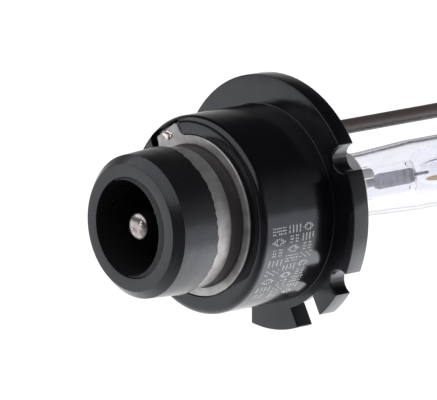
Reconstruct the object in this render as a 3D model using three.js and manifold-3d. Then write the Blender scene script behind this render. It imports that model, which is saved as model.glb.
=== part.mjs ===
// Gas-discharge headlight bulb with a plug-in cap, in millimetres.
// The bulb axis is +X and runs from the socket nose to the glass tip, +Z is up.
// The origin is on the axis, in the front face of the flange.
// Clock angles run round the axis from +Z towards +Y.

import * as THREE from "three";
import { mergeVertices } from "three/addons/utils/BufferGeometryUtils.js";
import Module from "manifold-3d";

const wasm = await Module();
wasm.setup();

// ---- Driving dimensions ------------------------------------------------------------------

const FIT_GAP = 0.05;                  // clearance left between neighbouring pieces
const CAP_SIDES = 60;                  // facets round the cap pieces
const GLASS_SIDES = 32;                // facets round the glass pieces
const WIRE_SIDES = 10;                 // facets round wires and rods

const FLANGE_RADIUS = 16;
const FLANGE_THICKNESS = 2.5;
const BODY_RADIUS = 12.4;
const BODY_REAR_X = -14.2;
const BODY_EDGE_ROUND = 1;
const FLANGE_FILLET = 0.25;
const HUB_RADIUS = 11.2;
const HUB_FRONT_X = 2.4;
const WELL_RADIUS = 8.7;
const WELL_FLOOR_X = -3;

const SPIGOT_RADIUS = 8.1;
const SPIGOT_FRONT_X = -8.25;

const NOSE_REAR_X = -24.9;
const NOSE_FRONT_X = -18.9;
const NOSE_FACE_RADIUS = 7.9;
const NOSE_REAR_RADIUS = 8.9;
const NOSE_FRONT_RADIUS = 9.2;
const NOSE_CHAMFER = 1.1;
const SOCKET_RADIUS = 6.3;
const SOCKET_FLOOR_X = -11.5;
const RIB_REAR_X = -24.6;              // crescent rib inside the socket, left by an off-centre bore
const RIB_BORE_RADIUS = 5.95;
const RIB_BORE_SHIFT = [1.03, -0.23];

const RING_RADIUS = 10;
const RING_REAR_X = -14.3;
const RING_THICKNESS = 0.45;
const SLEEVE_RADIUS = 8.85;
const SLEEVE_FRONT_X = -16.2;
const GROOVE_RADIUS = 8.55;            // groove between the sleeve and the flat ring
const TAB_WIDTH = 4.4;
const TAB_OUTER_RADIUS = 11.55;
const TAB_POCKET_WIDTH = 6;
const TAB_POCKET_RADIUS = 11.85;
const TAB_POCKET_DEPTH = 1.1;

const PIN_RADIUS = 1.72;
const PIN_SHOULDER_X = -23.4;
const PIN_TIP_X = -24.15;
const PIN_COLLAR_RADIUS = 2.6;
const PIN_COLLAR_LENGTH = 1;

const RETURN_CLOCK = 28;               // clock angle of the ring tab and the ceramic tube
const RETURN_RADIUS = 7.65;            // distance from the bulb axis to the ceramic tube
const RETURN_WIRE_RADIUS = 0.4;
const RETURN_TAB_RADIUS = 10.6;        // where the return wire meets the ring tab
const CERAMIC_RADIUS = 0.95;
const CERAMIC_REAR_X = -6;
const CERAMIC_FRONT_X = 43.5;

const STEM_RADIUS = 2.1;
const STEM_REAR_X = 2;
const STEM_FRONT_X = 46.6;
const ARC_CENTRE_X = 27.1;             // light centre, measured from the flange front face
const ARC_GAP = 4.2;
const VESSEL_RADIUS = 3.05;
const VESSEL_HALF_LENGTH = 5;
const CHAMBER_RADIUS = 1.45;
const CHAMBER_HALF_LENGTH = 3.9;

const BULB_REAR_X = 4.5;
const BULB_FRONT_X = 44.5;
const BULB_REAR_RADIUS = 4.05;
const BULB_RADIUS = 4.5;
const BULB_WALL = 0.4;

const FOIL_LENGTH = 6.9;
const FOIL_WIDTH = 1.5;
const FOIL_THICKNESS = 0.12;
const FOIL_START = 5;                  // distance from the arc centre to the near foil end
const LEAD_RADIUS = 0.4;
const ELECTRODE_RADIUS = 0.16;
const ELECTRODE_TIP_RADIUS = 0.2;
const SALT_LEVEL = -1;

const CLAMP_REAR_X = 6.2;
const CLAMP_FRONT_X = 10.3;
const CLAMP_RADIUS = 4.9;
const CLAMP_THICKNESS = 0.3;
const TONGUE_WIDTH = 1.3;
const TONGUE_THICKNESS = 0.35;
const TONGUE_ROOT_RADIUS = 6;
const TONGUE_ROOT_X = -5;
const TONGUE_TIP_X = 11.4;
const TONGUE_CLOCKS = [29, 119, 209, 299];

const RETURN_JOINT_X = 48.6;
const FRONT_LEAD_END_X = 48.1;

// ---- Shape helpers -----------------------------------------------------------------------

const radians = (degrees) => THREE.MathUtils.degToRad(degrees);

function clockPoint(x, radius, clock) {
  return new THREE.Vector3(x, radius * Math.sin(radians(clock)), radius * Math.cos(radians(clock)));
}

// Points of a round stretch of a turned outline. Angles are measured from +X towards the radius.
function arc(centreX, centreRadius, radiusX, radiusR, start, end, steps) {
  const points = [];
  for (let step = 0; step <= steps; step += 1) {
    const angle = radians(start + ((end - start) * step) / steps);
    points.push([centreX + radiusX * Math.cos(angle), centreRadius + radiusR * Math.sin(angle)]);
  }
  return points;
}

// Turned body about +X. The outline is [x, radius] points with the outside running towards +X.
function turned(outline, sides) {
  const points = outline.map(([x, radius]) => new THREE.Vector2(radius, x));
  const geometry = new THREE.LatheGeometry(points, sides);
  geometry.rotateZ(-Math.PI / 2);
  return geometry;
}

function turnedRing(outline, sides) {
  return turned([...outline, outline[0]], sides);
}

function rod(startX, endX, radius, sides = WIRE_SIDES) {
  return turned([[startX, 0], [startX, radius], [endX, radius], [endX, 0]], sides);
}

// Plate with a flat outline across the axis, given as [across, outward] points at a clock angle.
function plate(outline, startX, endX, clock) {
  const shape = new THREE.Shape(outline.map(([across, outward]) => new THREE.Vector2(across, outward)));
  const geometry = new THREE.ExtrudeGeometry(shape, { depth: endX - startX, bevelEnabled: false });
  const axes = new THREE.Matrix4().set(0, 0, 1, startX, 1, 0, 0, 0, 0, 1, 0, 0, 0, 0, 0, 1);
  geometry.applyMatrix4(axes);
  geometry.rotateX(-radians(clock));
  return geometry;
}

function rectangle(width, inner, outer, shift = 0) {
  const left = shift - width / 2;
  const right = shift + width / 2;
  return [[left, inner], [right, inner], [right, outer], [left, outer]];
}

// Path whose steps fall exactly on its stations, so that long straight runs stay light.
class StationPath extends THREE.Curve {
  constructor(stations) {
    super();
    this.stations = stations;
  }

  getPoint(t) {
    const place = t * (this.stations.length - 1);
    const index = Math.min(Math.floor(place), this.stations.length - 2);
    return this.stations[index].clone().lerp(this.stations[index + 1], place - index);
  }

  getPointAt(t) {
    return this.getPoint(t);
  }

  getTangentAt(t) {
    const step = 0.5 / (this.stations.length - 1);
    const before = this.getPoint(Math.max(t - step, 0));
    const after = this.getPoint(Math.min(t + step, 1));
    return after.sub(before).normalize();
  }
}

function sweep(stations, radius, sides = WIRE_SIDES) {
  const corners = [];
  for (let side = 0; side < sides; side += 1) {
    const angle = (2 * Math.PI * side) / sides;
    corners.push(new THREE.Vector2(radius * Math.cos(angle), radius * Math.sin(angle)));
  }
  return new THREE.ExtrudeGeometry(new THREE.Shape(corners), {
    steps: stations.length - 1,
    extrudePath: new StationPath(stations),
    bevelEnabled: false,
  });
}

function toSolid(geometry) {
  const bare = geometry.clone();
  bare.deleteAttribute("normal");
  bare.deleteAttribute("uv");
  const merged = mergeVertices(bare, 1e-4);
  return new wasm.Manifold(new wasm.Mesh({
    numProp: 3,
    vertProperties: new Float32Array(merged.attributes.position.array),
    triVerts: new Uint32Array(merged.index.array),
  }));
}

function toGeometry(solid) {
  const mesh = solid.getMesh();
  const geometry = new THREE.BufferGeometry();
  geometry.setAttribute("position", new THREE.BufferAttribute(new Float32Array(mesh.vertProperties), 3));
  geometry.setIndex(new THREE.BufferAttribute(new Uint32Array(mesh.triVerts), 1));
  const flat = geometry.toNonIndexed();
  flat.computeVertexNormals();
  return flat;
}

function cut(geometry, cutters) {
  let solid = toSolid(geometry);
  for (const cutter of cutters) {
    solid = solid.subtract(toSolid(cutter));
  }
  return toGeometry(solid);
}

// ---- Assembly ----------------------------------------------------------------------------

const bulb = new THREE.Group();
bulb.name = "headlight_bulb";

function addPiece(name, geometry, color, roughness, metalness) {
  const material = new THREE.MeshStandardMaterial({ color, roughness, metalness });
  material.name = name;
  const mesh = new THREE.Mesh(geometry, material);
  mesh.name = name;
  bulb.add(mesh);
  return mesh;
}

const blackPlastic = (name, geometry) => addPiece(name, geometry, 0x15161a, 0.35, 0);
const nickel = (name, geometry) => addPiece(name, geometry, 0xc9cac6, 0.3, 1);
const steel = (name, geometry) => addPiece(name, geometry, 0xa9aaa8, 0.35, 1);
const quartz = (name, geometry) => addPiece(name, geometry, 0xdfe6ee, 0.05, 0);
const tungsten = (name, geometry) => addPiece(name, geometry, 0x6f7278, 0.45, 1);

// Stations of the return wire: ring tab, ceramic tube, then down to the front lead.
const RETURN_BEND = 1.3;
function returnWireStations() {
  const place = (x, radius) => clockPoint(x, radius, RETURN_CLOCK);
  const stations = [
    place(RING_REAR_X + RING_THICKNESS + FIT_GAP, RETURN_TAB_RADIUS),
    place(-10.2, RETURN_TAB_RADIUS),
    place(-9.5, RETURN_TAB_RADIUS - 0.15),
    place(-7.2, RETURN_RADIUS + 0.35),
    place(-6.5, RETURN_RADIUS + 0.05),
    place(-5.6, RETURN_RADIUS),
    place(RETURN_JOINT_X - RETURN_BEND, RETURN_RADIUS),
  ];
  for (const angle of [22.5, 45, 67.5]) {
    const forward = RETURN_BEND * Math.sin(radians(angle));
    const inward = RETURN_BEND * (1 - Math.cos(radians(angle)));
    stations.push(place(RETURN_JOINT_X - RETURN_BEND + forward, RETURN_RADIUS - inward));
  }
  stations.push(place(RETURN_JOINT_X, RETURN_RADIUS - RETURN_BEND));
  stations.push(place(RETURN_JOINT_X, -0.5));
  return stations;
}

// ---- Cap body with keyed flange ----------------------------------------------------------

// Round-bottomed notch in the flange edge.
function scoop(width, floorRadius) {
  const half = width / 2;
  const outline = [[-half, FLANGE_RADIUS + 1]];
  for (let angle = 180; angle <= 360; angle += 30) {
    outline.push([half * Math.cos(radians(angle)), floorRadius + half + half * Math.sin(radians(angle))]);
  }
  outline.push([half, FLANGE_RADIUS + 1]);
  return outline;
}

function flangeNotches() {
  const through = [-FLANGE_THICKNESS - 0.1, 0.1];
  const scoopOutline = scoop(3.35, 13.9);
  return [
    plate(scoopOutline, ...through, -61.2),
    plate(scoopOutline, ...through, -121.2),
    plate(scoopOutline, ...through, 61.2),
    plate(scoopOutline, ...through, 121.2),
    plate(rectangle(4.45, 12.1, FLANGE_RADIUS + 2), ...through, -150.5),
    plate(rectangle(4.5, 12.55, FLANGE_RADIUS + 2, -4.95), ...through, 180),
  ];
}

function tonguePockets() {
  const inner = TONGUE_ROOT_RADIUS - FIT_GAP;
  const outer = TONGUE_ROOT_RADIUS + TONGUE_THICKNESS + FIT_GAP;
  const outline = rectangle(TONGUE_WIDTH + 2 * FIT_GAP, inner, outer);
  return TONGUE_CLOCKS.map((clock) => plate(outline, TONGUE_ROOT_X - FIT_GAP, WELL_FLOOR_X + 0.5, clock));
}

function baseShell() {
  const rearStep = RING_REAR_X + RING_THICKNESS + FIT_GAP;
  const bore = SPIGOT_RADIUS + FIT_GAP;
  const webFront = SPIGOT_FRONT_X + FIT_GAP;
  const outline = [
    [BODY_REAR_X, RING_RADIUS + 0.1],
    ...arc(BODY_REAR_X + BODY_EDGE_ROUND, BODY_RADIUS - BODY_EDGE_ROUND,
      BODY_EDGE_ROUND, BODY_EDGE_ROUND, 180, 90, 4),
    ...arc(-FLANGE_THICKNESS - FLANGE_FILLET, BODY_RADIUS + FLANGE_FILLET,
      FLANGE_FILLET, FLANGE_FILLET, -90, 0, 2),
    [-FLANGE_THICKNESS, FLANGE_RADIUS],
    [0, FLANGE_RADIUS],
    [0, HUB_RADIUS],
    [HUB_FRONT_X, HUB_RADIUS - 0.2],
    [HUB_FRONT_X, WELL_RADIUS],
    [WELL_FLOOR_X, WELL_RADIUS],
    [WELL_FLOOR_X, 0.7],
    [webFront, 0.7],
    [webFront, bore],
    [rearStep, bore],
    [rearStep, RING_RADIUS + 0.1],
  ];
  const tabPocket = plate(rectangle(TAB_POCKET_WIDTH, RING_RADIUS - 1, TAB_POCKET_RADIUS, 0.5),
    BODY_REAR_X - 1, BODY_REAR_X + TAB_POCKET_DEPTH, RETURN_CLOCK);
  const tubeSocket = rod(CERAMIC_REAR_X - FIT_GAP, WELL_FLOOR_X + 1, CERAMIC_RADIUS + FIT_GAP, 16);
  tubeSocket.translate(0, 0, RETURN_RADIUS);
  tubeSocket.rotateX(-radians(RETURN_CLOCK));
  const wireTunnel = sweep(returnWireStations().slice(0, 6), RETURN_WIRE_RADIUS + 0.15);
  return cut(turnedRing(outline, CAP_SIDES),
    [...flangeNotches(), tabPocket, tubeSocket, wireTunnel, ...tonguePockets()]);
}

blackPlastic("base_shell", baseShell());

// ---- Rear socket nose --------------------------------------------------------------------

// Moulding with its socket. An off-centre bore leaves a crescent rib along one side of the wall.
function socketNose() {
  const pinBore = PIN_RADIUS + FIT_GAP;
  const collarBore = PIN_COLLAR_RADIUS + FIT_GAP;
  const collarX = SPIGOT_FRONT_X - PIN_COLLAR_LENGTH - FIT_GAP;
  const body = turnedRing([
    [NOSE_REAR_X, pinBore],
    [NOSE_REAR_X, NOSE_FACE_RADIUS],
    [NOSE_REAR_X + NOSE_CHAMFER, NOSE_REAR_RADIUS],
    [NOSE_FRONT_X, NOSE_FRONT_RADIUS],
    [NOSE_FRONT_X, SPIGOT_RADIUS],
    [SPIGOT_FRONT_X, SPIGOT_RADIUS],
    [SPIGOT_FRONT_X, collarBore],
    [collarX, collarBore],
    [collarX, pinBore],
  ], CAP_SIDES);
  const mouth = rod(NOSE_REAR_X - 1, RIB_REAR_X, SOCKET_RADIUS, CAP_SIDES);
  const socket = rod(NOSE_REAR_X - 1, SOCKET_FLOOR_X, SOCKET_RADIUS, CAP_SIDES);
  const ribBore = rod(NOSE_REAR_X - 1, SOCKET_FLOOR_X, RIB_BORE_RADIUS, CAP_SIDES);
  ribBore.translate(0, ...RIB_BORE_SHIFT);
  const ribbedSocket = toGeometry(toSolid(socket).intersect(toSolid(ribBore)));
  return cut(body, [mouth, ribbedSocket]);
}

blackPlastic("socket_nose", socketNose());

// ---- Contacts ----------------------------------------------------------------------------

// Sleeve, groove and flat ring in one, with the tab that takes the return wire.
function returnContactRing() {
  const sleeveBore = SPIGOT_RADIUS + FIT_GAP;
  const ring = turnedRing([
    [NOSE_FRONT_X + FIT_GAP, sleeveBore],
    [NOSE_FRONT_X + FIT_GAP, SLEEVE_RADIUS],
    [SLEEVE_FRONT_X, SLEEVE_RADIUS],
    [SLEEVE_FRONT_X, GROOVE_RADIUS],
    [RING_REAR_X + 0.15, GROOVE_RADIUS],
    [RING_REAR_X, SLEEVE_RADIUS + 0.05],
    [RING_REAR_X, RING_RADIUS],
    [RING_REAR_X + RING_THICKNESS, RING_RADIUS],
    [RING_REAR_X + RING_THICKNESS, sleeveBore],
  ], CAP_SIDES);
  const tab = plate(rectangle(TAB_WIDTH, RING_RADIUS - 0.4, TAB_OUTER_RADIUS),
    RING_REAR_X, RING_REAR_X + RING_THICKNESS, RETURN_CLOCK);
  return toGeometry(toSolid(ring).add(toSolid(tab)));
}

nickel("return_contact_ring", returnContactRing());

// Low weld spot on the rear of the tab.
function returnLeadWeld() {
  const spot = turned([
    [-0.35, 0],
    ...arc(0, 0, 0.35, 0.6, 180, 90, 3).slice(1),
    [0, 0],
  ], 12);
  spot.translate(RING_REAR_X - FIT_GAP, 0, RETURN_TAB_RADIUS);
  spot.rotateX(-radians(RETURN_CLOCK));
  return spot;
}

steel("return_lead_weld", returnLeadWeld());

function highVoltagePin() {
  const bore = LEAD_RADIUS + FIT_GAP;
  const domeLength = PIN_SHOULDER_X - PIN_TIP_X;
  return turnedRing([
    [PIN_TIP_X + 0.05, bore],
    ...arc(PIN_SHOULDER_X, 0.6, domeLength, PIN_RADIUS - 0.6, 180, 90, 4),
    [SPIGOT_FRONT_X - PIN_COLLAR_LENGTH, PIN_RADIUS],
    [SPIGOT_FRONT_X - PIN_COLLAR_LENGTH, PIN_COLLAR_RADIUS],
    [SPIGOT_FRONT_X, PIN_COLLAR_RADIUS],
    [SPIGOT_FRONT_X, bore],
  ], 24);
}

nickel("high_voltage_pin", highVoltagePin());

function pinWeldBead() {
  return turned([
    [PIN_TIP_X - 0.35, 0],
    ...arc(PIN_TIP_X - FIT_GAP, 0, 0.3, 0.55, 180, 90, 3).slice(1),
    [PIN_TIP_X - FIT_GAP, 0],
  ], 12);
}

steel("pin_weld_bead", pinWeldBead());

// ---- Arc tube ----------------------------------------------------------------------------

const chamberOutline = arc(ARC_CENTRE_X, 0, CHAMBER_HALF_LENGTH, CHAMBER_RADIUS, 180, 0, 12);

function closedOnAxis(outline) {
  return outline.map(([x, radius], index) => {
    const onAxis = index === 0 || index === outline.length - 1;
    return onAxis ? [x, 0] : [x, radius];
  });
}

function arcTube() {
  const blend = VESSEL_HALF_LENGTH + 0.8;
  const vessel = arc(ARC_CENTRE_X, 0, VESSEL_HALF_LENGTH, VESSEL_RADIUS, 142, 38, 8);
  const body = turned([
    [STEM_REAR_X, 0],
    [STEM_REAR_X, STEM_RADIUS],
    [ARC_CENTRE_X - blend, STEM_RADIUS],
    [ARC_CENTRE_X - blend + 1.1, STEM_RADIUS - 0.3],
    ...vessel,
    [ARC_CENTRE_X + blend - 1.1, STEM_RADIUS - 0.3],
    [ARC_CENTRE_X + blend, STEM_RADIUS],
    [STEM_FRONT_X, STEM_RADIUS],
    [STEM_FRONT_X, 0],
  ], GLASS_SIDES);
  const foilHalf = FOIL_WIDTH / 2 + FIT_GAP;
  const foilDepth = FOIL_THICKNESS / 2 + FIT_GAP;
  const foilSlot = [[-foilDepth, -foilHalf], [foilDepth, -foilHalf], [foilDepth, foilHalf],
    [-foilDepth, foilHalf]];
  const foilFar = FOIL_START + FOIL_LENGTH + 0.1;
  const foilNear = FOIL_START - 0.1;
  const leadBore = LEAD_RADIUS + FIT_GAP;
  const electrodeBore = ELECTRODE_RADIUS + FIT_GAP;
  return cut(body, [
    turned(closedOnAxis(chamberOutline), 20),
    rod(STEM_REAR_X - 1, ARC_CENTRE_X - foilFar + 0.1, leadBore),
    plate(foilSlot, ARC_CENTRE_X - foilFar, ARC_CENTRE_X - foilNear, 0),
    rod(ARC_CENTRE_X - foilNear - 0.1, ARC_CENTRE_X + foilNear + 0.1, electrodeBore),
    plate(foilSlot, ARC_CENTRE_X + foilNear, ARC_CENTRE_X + foilFar, 0),
    rod(ARC_CENTRE_X + foilFar - 0.1, STEM_FRONT_X + 1, leadBore),
  ]);
}

quartz("arc_tube", arcTube());

// Pool of halide salt that has settled in the bottom of the chamber.
function halideSalt() {
  const shrink = FIT_GAP;
  const outline = arc(ARC_CENTRE_X, 0, CHAMBER_HALF_LENGTH - 2 * shrink, CHAMBER_RADIUS - shrink,
    180, 0, 12);
  const chamber = toSolid(turned(closedOnAxis(outline), 20));
  const below = plate(rectangle(6, 1, 6), ARC_CENTRE_X - 8, ARC_CENTRE_X + 8, 180);
  below.translate(0, 0, SALT_LEVEL + 1);
  return toGeometry(chamber.intersect(toSolid(below)));
}

addPiece("halide_salt", halideSalt(), 0xc8902c, 0.6, 0);

function foil(direction) {
  const near = ARC_CENTRE_X + direction * FOIL_START;
  const far = ARC_CENTRE_X + direction * (FOIL_START + FOIL_LENGTH);
  const half = FOIL_WIDTH / 2;
  const depth = FOIL_THICKNESS / 2;
  const outline = [[-depth, -half], [depth, -half], [depth, half], [-depth, half]];
  return plate(outline, Math.min(near, far), Math.max(near, far), 0);
}

function electrode(direction) {
  const start = direction * (ARC_GAP / 2);
  const neck = start + direction * 0.9;
  const end = direction * (FOIL_START - FIT_GAP);
  const outline = [[start, 0], [start, ELECTRODE_TIP_RADIUS], [neck, ELECTRODE_TIP_RADIUS],
    [neck, ELECTRODE_RADIUS], [end, ELECTRODE_RADIUS], [end, 0]];
  const ordered = direction > 0 ? outline : outline.reverse();
  return turned(ordered.map(([x, radius]) => [ARC_CENTRE_X + x, radius]), WIRE_SIDES);
}

tungsten("rear_foil", foil(-1));
tungsten("front_foil", foil(1));
tungsten("rear_electrode", electrode(-1));
tungsten("front_electrode", electrode(1));

const foilOuterEnd = FOIL_START + FOIL_LENGTH + FIT_GAP;
steel("rear_lead_wire", rod(PIN_TIP_X + 0.05, ARC_CENTRE_X - foilOuterEnd, LEAD_RADIUS));
steel("front_lead_wire", rod(ARC_CENTRE_X + foilOuterEnd, FRONT_LEAD_END_X, LEAD_RADIUS));

// ---- Outer bulb --------------------------------------------------------------------------

function outerBulb() {
  const neck = STEM_RADIUS + FIT_GAP;
  const inner = (radius) => radius - BULB_WALL;
  const seal = 0.9;
  return turnedRing([
    [BULB_REAR_X, neck],
    [BULB_REAR_X, 2.9],
    [BULB_REAR_X + 0.5, 3.7],
    [BULB_REAR_X + 1.1, BULB_REAR_RADIUS],
    [14, BULB_REAR_RADIUS + 0.05],
    [20, BULB_RADIUS - 0.12],
    [24, BULB_RADIUS],
    [34, BULB_RADIUS],
    [39, BULB_RADIUS - 0.5],
    [42, BULB_RADIUS - 1.3],
    [BULB_FRONT_X, 2.75],
    [BULB_FRONT_X, neck],
    [BULB_FRONT_X - seal, neck],
    [41.2, inner(BULB_RADIUS - 1.2)],
    [38.4, inner(BULB_RADIUS - 0.45)],
    [34, inner(BULB_RADIUS)],
    [24, inner(BULB_RADIUS)],
    [14, inner(BULB_REAR_RADIUS + 0.05)],
    [BULB_REAR_X + seal + 0.6, inner(BULB_REAR_RADIUS)],
    [BULB_REAR_X + seal, neck],
  ], GLASS_SIDES);
}

quartz("outer_bulb", outerBulb());

// ---- Return conductor --------------------------------------------------------------------

steel("return_wire", sweep(returnWireStations(), RETURN_WIRE_RADIUS));

function ceramicTube() {
  const bore = RETURN_WIRE_RADIUS + FIT_GAP;
  const tube = turnedRing([
    [CERAMIC_REAR_X, bore],
    [CERAMIC_REAR_X, CERAMIC_RADIUS],
    [CERAMIC_FRONT_X, CERAMIC_RADIUS],
    [CERAMIC_FRONT_X, bore],
  ], 16);
  tube.translate(0, 0, RETURN_RADIUS);
  tube.rotateX(-radians(RETURN_CLOCK));
  return tube;
}

addPiece("ceramic_tube", ceramicTube(), 0x4a3f3e, 0.7, 0);

// Weld drop that joins the front lead to the return wire.
function leadJointWeld() {
  const drop = turned(arc(0, 0, 0.45, 0.6, 180, 0, 6).map(([x, radius], index) => (
    index === 0 || index === 6 ? [x, 0] : [x, radius])), 12);
  drop.translate(RETURN_JOINT_X + RETURN_WIRE_RADIUS + 0.5, 0, 0);
  return drop;
}

steel("lead_joint_weld", leadJointWeld());

// ---- Burner mounting ---------------------------------------------------------------------

// Band whose two rims are turned in to grip the glass.
function burnerClamp() {
  const grip = BULB_REAR_RADIUS + 2 * FIT_GAP;
  const inner = CLAMP_RADIUS - CLAMP_THICKNESS;
  return turnedRing([
    [CLAMP_REAR_X, grip],
    [CLAMP_REAR_X, CLAMP_RADIUS],
    [CLAMP_FRONT_X, CLAMP_RADIUS],
    [CLAMP_FRONT_X, grip],
    [CLAMP_FRONT_X - CLAMP_THICKNESS, grip],
    [CLAMP_FRONT_X - CLAMP_THICKNESS, inner],
    [CLAMP_REAR_X + CLAMP_THICKNESS, inner],
    [CLAMP_REAR_X + CLAMP_THICKNESS, grip],
  ], GLASS_SIDES);
}

nickel("burner_clamp", burnerClamp());

// Bent strip from the cap moulding to the clamp band.
function retainingTongue(clock) {
  const tipInner = CLAMP_RADIUS + FIT_GAP;
  const stations = [
    [TONGUE_ROOT_X, TONGUE_ROOT_RADIUS],
    [3.6, TONGUE_ROOT_RADIUS],
    [CLAMP_REAR_X + 0.9, tipInner],
    [TONGUE_TIP_X, tipInner],
  ];
  const side = stations.map(([x, radius]) => new THREE.Vector2(x, radius));
  const back = stations.map(([x, radius]) => new THREE.Vector2(x, radius + TONGUE_THICKNESS)).reverse();
  const shape = new THREE.Shape([...side, ...back]);
  const geometry = new THREE.ExtrudeGeometry(shape, { depth: TONGUE_WIDTH, bevelEnabled: false });
  geometry.translate(0, 0, -TONGUE_WIDTH / 2);
  geometry.rotateX(Math.PI / 2);
  geometry.rotateX(-radians(clock));
  return geometry;
}

TONGUE_CLOCKS.forEach((clock, index) => {
  nickel(`retaining_tongue_${index + 1}`, retainingTongue(clock));
});

export default bulb;
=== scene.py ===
"""Gas-discharge headlight bulb, seen from behind its plug-in cap.

Lengths in the shape functions are millimetres in the frame of the CAD model: the bulb axis is +X,
the origin is in the front face of the flange, and clock angles run from +Z towards +Y.
"""

import math
import random

import bmesh
import bpy
from mathutils import Matrix, Vector


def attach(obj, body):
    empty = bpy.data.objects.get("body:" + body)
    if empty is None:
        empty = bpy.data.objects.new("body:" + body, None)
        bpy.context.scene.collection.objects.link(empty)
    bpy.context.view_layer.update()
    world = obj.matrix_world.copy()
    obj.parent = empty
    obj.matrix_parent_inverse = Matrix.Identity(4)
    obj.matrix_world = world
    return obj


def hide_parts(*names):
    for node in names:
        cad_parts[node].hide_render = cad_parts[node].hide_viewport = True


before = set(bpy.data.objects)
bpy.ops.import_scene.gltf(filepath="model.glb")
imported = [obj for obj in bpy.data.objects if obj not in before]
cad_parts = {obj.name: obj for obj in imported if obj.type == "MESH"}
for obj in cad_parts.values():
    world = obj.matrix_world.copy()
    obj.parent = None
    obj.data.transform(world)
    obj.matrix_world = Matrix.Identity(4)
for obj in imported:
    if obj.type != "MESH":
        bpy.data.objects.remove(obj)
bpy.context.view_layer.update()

MM = 0.001
random.seed(11)

# ---- Dimensions, in millimetres ----------------------

FIT_GAP = 0.05                  # clearance between pieces that sit in one another

FLANGE_RADIUS = 16.0
FLANGE_THICKNESS = 2.5
BODY_RADIUS = 12.4
BODY_EDGE_ROUND = 1.0
FLANGE_FILLET = 0.08
BODY_REAR_X = -14.2
HUB_RADIUS = 11.2
HUB_FRONT_X = 2.4
WELL_RADIUS = 8.7
WELL_FLOOR_X = -3.0
NOTCH_CLOCKS = (-61.2, -121.2, 61.2, 121.2)
NOTCH_WIDTH = 3.35
NOTCH_FLOOR_RADIUS = 13.9
KEY_SLOTS = (                   # clock angle, width, floor radius, sideways shift
    (-150.5, 4.45, 12.1, 0.0),
    (180.0, 4.5, 12.55, -4.95),
)

NOSE_REAR_X = -24.9
NOSE_FRONT_X = -18.9
NOSE_FACE_RADIUS = 7.9
NOSE_REAR_RADIUS = 8.9
NOSE_FRONT_RADIUS = 9.2
SPIGOT_RADIUS = 8.1
SPIGOT_FRONT_X = -8.25
SOCKET_RADIUS = 6.3
SOCKET_FLOOR_X = -11.5
RIB_REAR_X = -24.6
RIB_BORE_RADIUS = 5.95
RIB_BORE_CENTRE = (1.03, -0.23)
RIB_CLOCKS = range(-186, 31, 2)
RIB_TOOTH_CLOCK = -59.0
RIB_TOOTH_HEIGHT = 0.14
RIB_TOOTH_SPREAD = 2.0          # degrees

RING_RADIUS = 10.0
RING_REAR_X = -14.3
RING_THICKNESS = 0.45
SLEEVE_RADIUS = 8.85
SLEEVE_FRONT_X = -16.2
GROOVE_RADIUS = 8.55
TAB_WIDTH = 4.4
TAB_FOOT_RADIUS = 9.15
TAB_NECK_RADIUS = 9.95
TAB_OUTER_RADIUS = 11.55
TAB_WELDS = (                   # across, outward from the wire, radius, height
    (0.0, 0.0, 0.62, 0.3),
    (0.5, 0.35, 0.36, 0.2),
    (-0.5, -0.2, 0.34, 0.16),
)

PIN_RADIUS = 1.72
PIN_TIP_X = -24.15
PIN_DOME_DEPTH = 0.75
PIN_FOOT_RADIUS = 2.6
PIN_FOOT_THICKNESS = 1.0
PIN_WELDS = (                   # depth below the tip, across, outward, radius, height
    (0.04, 0.39, -0.2, 0.3, 0.18),
    (0.26, -1.0, 0.58, 0.3, 0.24),
)

RETURN_CLOCK = 28.0
RETURN_RADIUS = 7.65
RETURN_WIRE_RADIUS = 0.4
RETURN_TAB_RADIUS = 10.6
CERAMIC_RADIUS = 0.95
CERAMIC_REAR_X = -6.0
CERAMIC_FRONT_X = 43.5
RETURN_JOINT_X = 48.6
JOINT_WELD_X = 49.5

ARC_CENTRE_X = 27.1
ARC_GAP = 4.2
CHAMBER_HALF_LENGTH = 3.9
CHAMBER_RADIUS = 1.45
STEM_RADIUS = 2.1
BULB_REAR_RADIUS = 4.05
BULB_RADIUS = 4.5
BULB_WALL = 0.4
FOIL_START = 5.0
FOIL_LENGTH = 6.9
FOIL_WIDTH = 1.5
LEAD_RADIUS = 0.4
FRONT_LEAD_END_X = 48.1

CLAMP_REAR_X = 6.2
CLAMP_FRONT_X = 10.3
CLAMP_RADIUS = 4.9
CLAMP_THICKNESS = 0.3
TONGUE_WIDTH = 1.3
TONGUE_THICKNESS = 0.35
TONGUE_ROOT_X = -5.0
TONGUE_ROOT_RADIUS = 6.0
TONGUE_BEND_X = 3.6
TONGUE_TIP_X = 11.4
TONGUE_TIP_ROUND = 0.6
TONGUE_CLOCKS = (29, 119, 209, 299)

MARK_START_CLOCK = -90.0
MARK_COLUMNS = 5
MARK_LINES = 7
MARK_COLUMN_PITCH = 0.19
MARK_DOT_RADIUS = 0.12
MARK_MISSING_DOTS = 0.06        # share of the dots that did not take

# ---- Camera and studio, in metres and degrees --------

CAMERA_AZIMUTH = -41.9
CAMERA_ELEVATION = 12.0
CAMERA_DISTANCE = 0.9
CAMERA_LENS = 599.0             # millimetres, as is the sensor
CAMERA_SENSOR = 36.0
AIM_LEFT = 5.887                # millimetres from the middle of the flange's rear face
AIM_UP = 0.288
FLOOR_HEIGHT = -0.07
FLOOR_HALF_SIZE = 4.0
AWAY_FROM_CAMERA = (0.67, 0.74, 0.0)
CAMERA_RIGHT = (0.744, -0.668, 0.0)
POOL_SIDE = 0.085               # bright pool on the table, right of the bulb
POOL_RADIUS = 0.1
POOL_STRENGTH = 2.3
SOFTBOX_SIZE = (1.5, 0.55)
SOFTBOX_PLACE = (-0.33, 0.15, 0.49)
SOFTBOX_BACK = (-0.55, 0.05, 0.83)
SOFTBOX_RADIANCE = 1.5


# ---- Camera ------------------------------------------

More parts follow.
